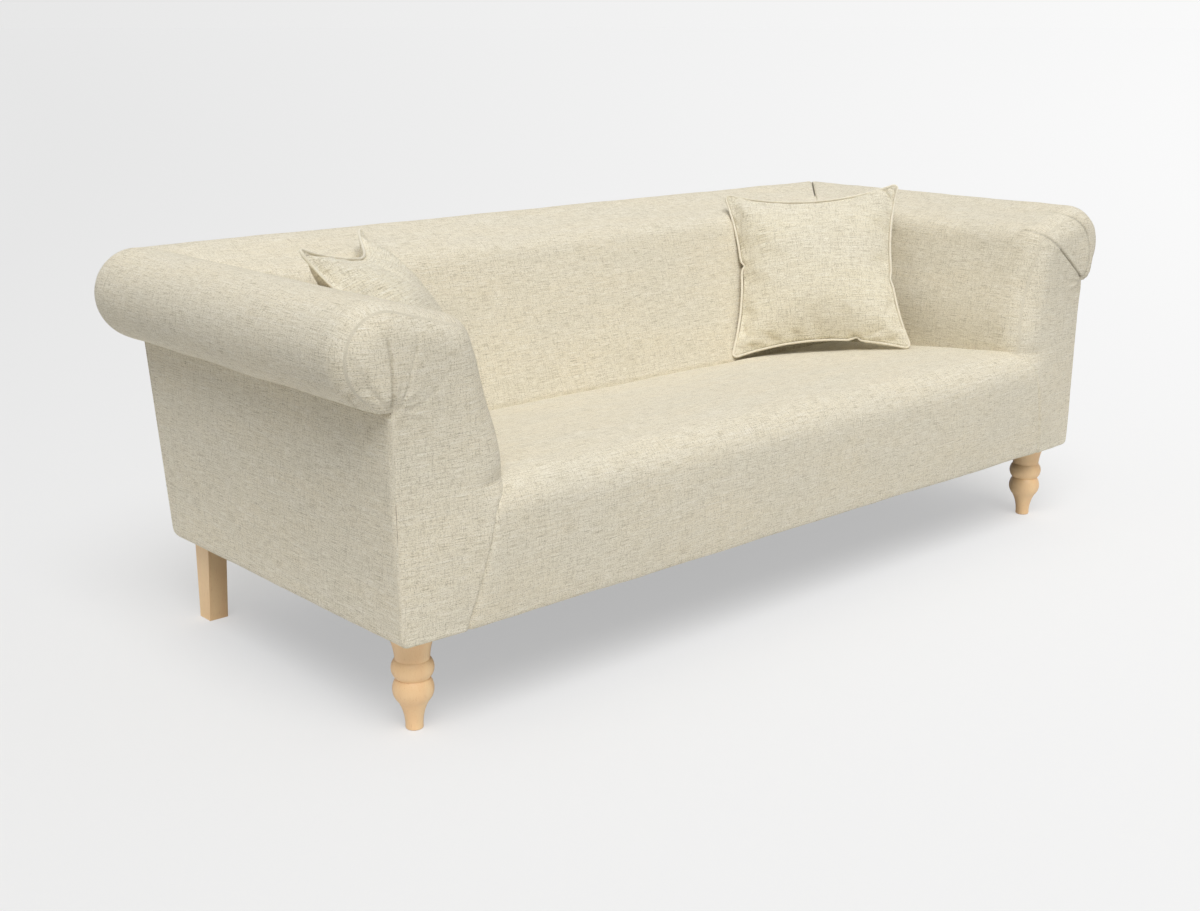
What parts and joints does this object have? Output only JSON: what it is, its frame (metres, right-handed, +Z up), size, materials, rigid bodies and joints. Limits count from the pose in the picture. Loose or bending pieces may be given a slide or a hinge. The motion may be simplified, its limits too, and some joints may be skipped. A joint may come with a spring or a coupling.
{
  "type": "english roll arm sofa",
  "caption": "Upholstered sofa with rolled arms and a rolled back of equal height, fixed seat, turned front legs, square rear legs and loose piped scatter cushions.",
  "frame": {"origin": "on the floor, under the middle of the whole sofa", "axes": "+X to the right as seen from the front, +Y from the seat's front edge to the back, +Z up"},
  "size_m": [2.1858, 0.9728, 0.811],
  "materials": {
    "sofa_cloth": "woven linen look cloth in oatmeal, matt, with visible slubs",
    "cushion_cloth": "the same woven cloth, on the scatter cushions",
    "piping_cloth": "bias-cut piping of the same cloth",
    "cushion_filling": "fibre filling in a white cotton case",
    "foam": "upholstery foam with a fleece wrap",
    "hessian_cloth": "plain jute hessian",
    "webbing_strap": "woven elastic webbing",
    "dust_cloth": "black non-woven dust cover",
    "frame_timber": "sawn softwood and plywood, unfinished",
    "hardboard": "thin hardboard",
    "card_tube": "wound card tube",
    "leg_beech": "light beech, clear satin lacquer",
    "spring_steel": "oil-tempered spring wire",
    "zinc_steel": "bright zinc plate"
  },
  "bodies": {
    "sofa": {"back_foam": "foam", "back_ribs": "frame_timber", "back_roll_former": "card_tube", "back_tack_rail": "frame_timber", "back_top_rail": "frame_timber", "back_webbing": "webbing_strap", "corner_blocks": "frame_timber", "dust_cover": "dust_cloth", "front_seat_rail": "frame_timber", "inside_back_cover": "sofa_cloth", "left_arm_foam": "foam", "left_arm_front_board": "frame_timber", "left_arm_front_pad": "foam", "left_arm_rear_board": "frame_timber", "left_arm_roll_former": "card_tube", "left_arm_tack_rail": "frame_timber", "left_arm_top_rail": "frame_timber", "left_arm_webbing": "webbing_strap", "left_base_rail": "frame_timber", "left_front_leg": "leg_beech", "left_inside_arm_cover": "sofa_cloth", "left_outside_arm_board": "hardboard", "left_outside_arm_cover": "sofa_cloth", "left_rear_leg": "leg_beech", "left_seat_side_rail": "frame_timber", "leg_bolts": "zinc_steel", "leg_tee_nuts": "zinc_steel", "outside_back_board": "hardboard", "outside_back_cover": "sofa_cloth", "rear_seat_rail": "frame_timber", "right_arm_foam": "foam", "right_arm_front_board": "frame_timber", "right_arm_front_pad": "foam", "right_arm_rear_board": "frame_timber", "right_arm_roll_former": "card_tube", "right_arm_tack_rail": "frame_timber", "right_arm_top_rail": "frame_timber", "right_arm_webbing": "webbing_strap", "right_base_rail": "frame_timber", "right_front_leg": "leg_beech", "right_inside_arm_cover": "sofa_cloth", "right_outside_arm_board": "hardboard", "right_outside_arm_cover": "sofa_cloth", "right_rear_leg": "leg_beech", "right_seat_side_rail": "frame_timber", "seat_cover": "sofa_cloth", "seat_cross_rail": "frame_timber", "seat_foam": "foam", "seat_front_foam": "foam", "seat_hessian": "hessian_cloth", "seat_springs": "spring_steel", "spring_clips": "zinc_steel"},
    "left_cushion": {"left_cushion_cover": "cushion_cloth", "left_cushion_pad": "cushion_filling", "left_cushion_piping": "piping_cloth"},
    "right_cushion": {"right_cushion_cover": "cushion_cloth", "right_cushion_pad": "cushion_filling", "right_cushion_piping": "piping_cloth"}
  },
  "joints": [
    {"name": "left_cushion_lift", "type": "slide", "parent": "sofa", "child": "left_cushion", "axis": [0, 0, 1], "range_m": [0, 0.45]},
    {"name": "right_cushion_lift", "type": "slide", "parent": "sofa", "child": "right_cushion", "axis": [0, 0, 1], "range_m": [0, 0.45]}
  ]
}
